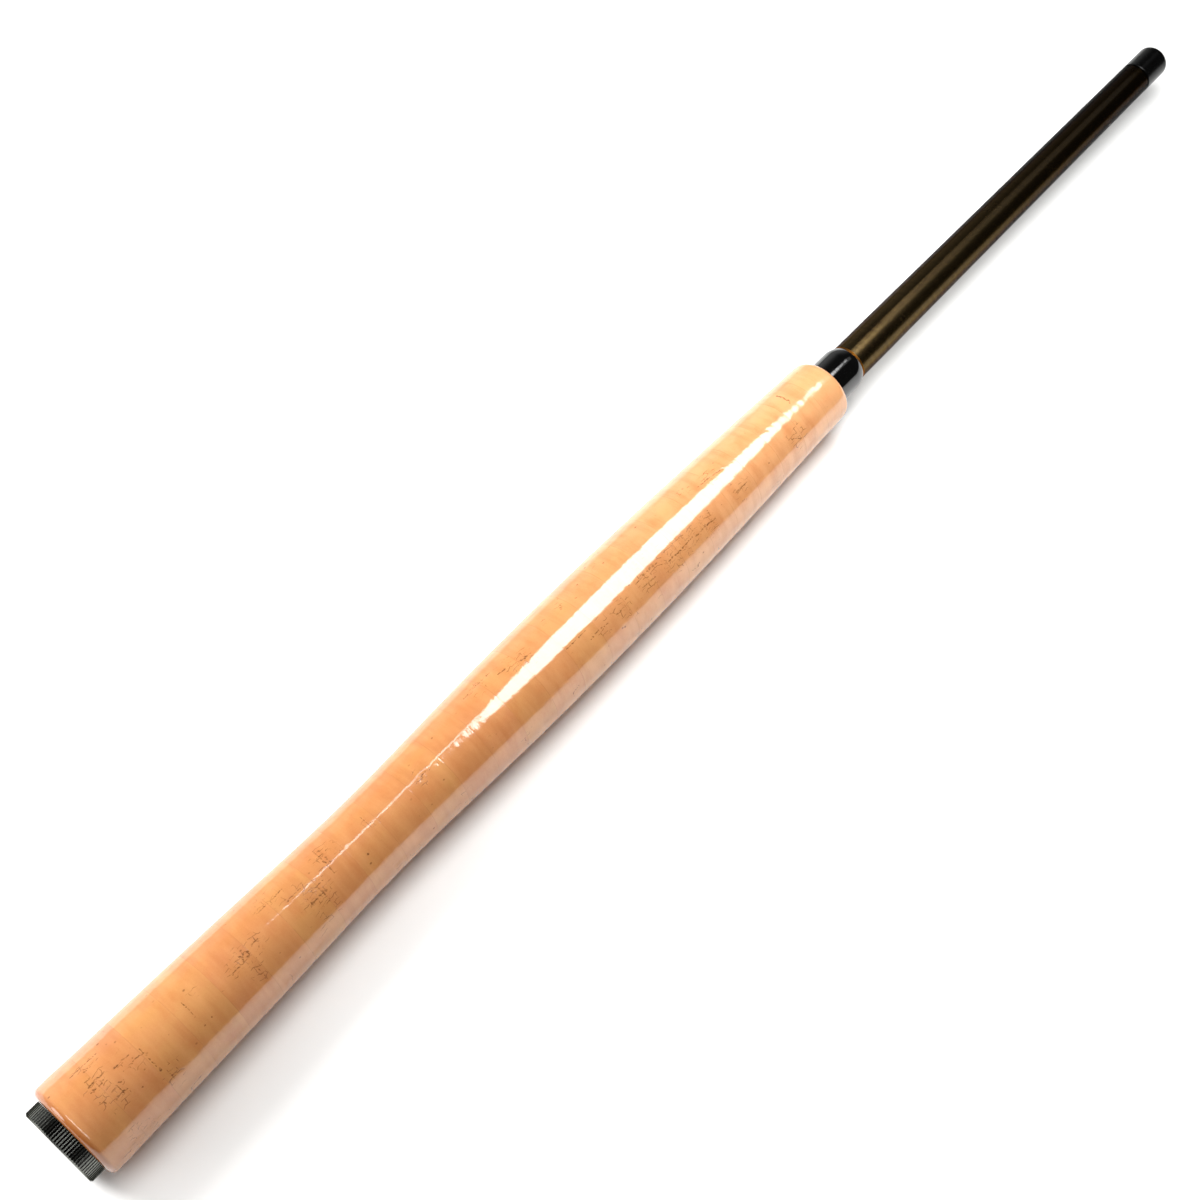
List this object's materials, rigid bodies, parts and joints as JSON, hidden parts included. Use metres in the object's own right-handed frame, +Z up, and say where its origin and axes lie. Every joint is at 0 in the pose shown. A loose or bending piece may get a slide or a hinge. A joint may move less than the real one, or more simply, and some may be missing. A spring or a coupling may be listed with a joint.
{
  "type": "tenkara rod",
  "caption": "Collapsed telescopic fly rod with a contoured cork grip, nested carbon sections, a push-in tip plug and a knurled screw-in butt cap.",
  "frame": {"origin": "centre of the butt cap's outer face, on the rod's axis", "axes": "+X along the rod's axis from butt to tip, +Z up as the rod lies on a table"},
  "size_m": [0.5201, 0.0292, 0.0292],
  "materials": {
    "cork": "varnished cork, clear gloss over a smooth turned surface",
    "olive_lacquer": "dark bronze-olive lacquer over carbon, darker towards the tip",
    "sanded_carbon": "satin carbon with spiral grinding marks",
    "black_lacquer": "thread winding under thick black lacquer",
    "copper_thread": "copper-coloured trim thread under lacquer",
    "gunmetal_anodised": "dark anodised, satin, with a straight knurl",
    "bare_aluminium": "turned",
    "brass": "drawn tube",
    "rubber": "moulded, matt",
    "plug_plastic": "moulded black, soft gloss"
  },
  "bodies": {
    "handle": {"butt_section": "olive_lacquer", "cork_ring_01": "cork", "cork_ring_02": "cork", "cork_ring_03": "cork", "cork_ring_04": "cork", "cork_ring_05": "cork", "cork_ring_06": "cork", "cork_ring_07": "cork", "cork_ring_08": "cork", "cork_ring_09": "cork", "cork_ring_10": "cork", "cork_ring_11": "cork", "cork_ring_12": "cork", "cork_ring_13": "cork", "cork_ring_14": "cork", "cork_ring_15": "cork", "cork_ring_16": "cork", "cork_ring_17": "cork", "cork_ring_18": "cork", "cork_ring_19": "cork", "cork_ring_20": "cork", "cork_ring_21": "cork", "cork_ring_22": "cork", "cork_ring_23": "cork", "cork_ring_24": "cork", "cork_ring_25": "cork", "cork_ring_26": "cork", "winding": "black_lacquer", "trim_thread": "copper_thread", "butt_insert": "bare_aluminium"},
    "cap_ring": {"seal_ring": "rubber"},
    "cap": {"butt_cap": "gunmetal_anodised", "cushion_pad": "rubber"},
    "stage_2": {"section_2": "sanded_carbon"},
    "stage_3": {"section_3": "sanded_carbon"},
    "stage_4": {"section_4": "sanded_carbon"},
    "stage_5": {"section_5": "sanded_carbon"},
    "stage_6": {"section_6": "sanded_carbon"},
    "stage_7": {"section_7": "sanded_carbon"},
    "tip_stage": {"tip_section": "sanded_carbon", "tip_collar": "brass"},
    "plug": {"plug_head": "plug_plastic", "plug_stem": "rubber"}
  },
  "joints": [
    {"name": "cap_travel", "type": "slide", "parent": "handle", "child": "cap_ring", "axis": [-1, 0, 0], "range_m": [0, 0.0075]},
    {"name": "cap_turn", "type": "hinge", "parent": "cap_ring", "child": "cap", "pos_m": [0, 0, 0], "axis": [-1, 0, 0], "range_deg": [0, 2160]},
    {"name": "section_2_slide", "type": "slide", "parent": "handle", "child": "stage_2", "axis": [1, 0, 0], "range_m": [0, 0.4538]},
    {"name": "section_3_slide", "type": "slide", "parent": "stage_2", "child": "stage_3", "axis": [1, 0, 0], "range_m": [0, 0.4402]},
    {"name": "section_4_slide", "type": "slide", "parent": "stage_3", "child": "stage_4", "axis": [1, 0, 0], "range_m": [0, 0.4452]},
    {"name": "section_5_slide", "type": "slide", "parent": "stage_4", "child": "stage_5", "axis": [1, 0, 0], "range_m": [0, 0.4492]},
    {"name": "section_6_slide", "type": "slide", "parent": "stage_5", "child": "stage_6", "axis": [1, 0, 0], "range_m": [0, 0.4532]},
    {"name": "section_7_slide", "type": "slide", "parent": "stage_6", "child": "stage_7", "axis": [1, 0, 0], "range_m": [0, 0.4572]},
    {"name": "section_8_slide", "type": "slide", "parent": "stage_7", "child": "tip_stage", "axis": [1, 0, 0], "range_m": [0, 0.4612]},
    {"name": "plug_pull", "type": "slide", "parent": "tip_stage", "child": "plug", "axis": [1, 0, 0], "range_m": [0, 0.025]}
  ],
  "couplings": [
    {"joint": "cap_travel", "follows": "cap_turn", "m_per_rad": 0.00019894}
  ]
}
